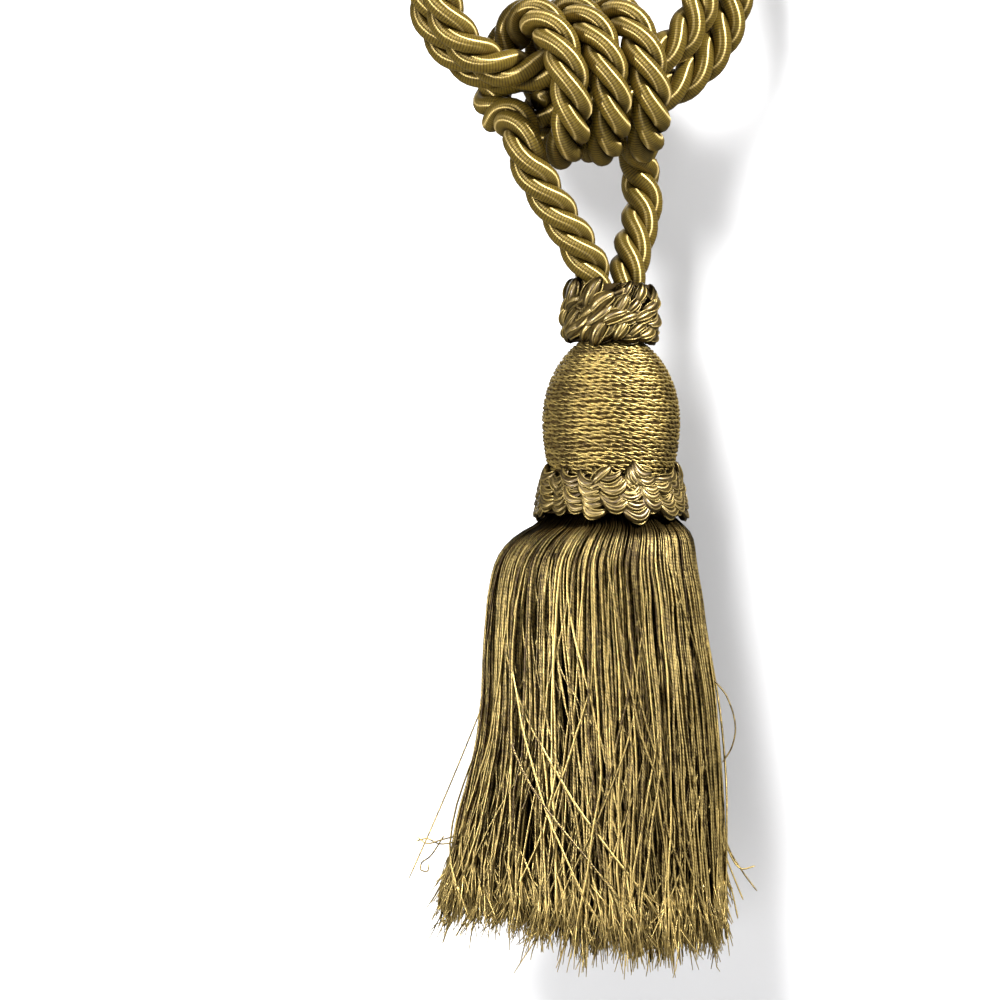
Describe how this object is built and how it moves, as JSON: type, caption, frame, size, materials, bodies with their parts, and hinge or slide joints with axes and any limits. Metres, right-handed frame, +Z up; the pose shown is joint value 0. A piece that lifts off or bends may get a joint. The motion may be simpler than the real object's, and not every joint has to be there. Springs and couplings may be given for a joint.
{
  "type": "curtain tieback tassel",
  "caption": "Tasselled curtain tieback: a doubled twisted rope embrace hung on a hook, held by a coil knot, with an egg-shaped wound head, looped braids and a long yarn skirt.",
  "frame": {"origin": "crown of the wall hook, where the two bights of the embrace rope rest on it", "axes": "+Z up along the hanging tassel, -Y the front of the tieback, +X to the right seen from the front"},
  "size_m": [0.1061, 0.0643, 0.6078],
  "materials": {
    "rope": "satin rayon strands laid in a three-strand rope, old gold",
    "braid": "satin gimp loops, pale gold",
    "head_yarn": "twisted yarn wound in rows, pale gold",
    "skirt_yarn": "twisted viscose yarn, antique gold"
  },
  "bodies": {
    "root": {"embrace_rope": "rope", "knot_rope": "rope", "neck_braid": "braid", "head": "head_yarn", "base_braid": "braid", "skirt": "skirt_yarn"}
  },
  "joints": []
}
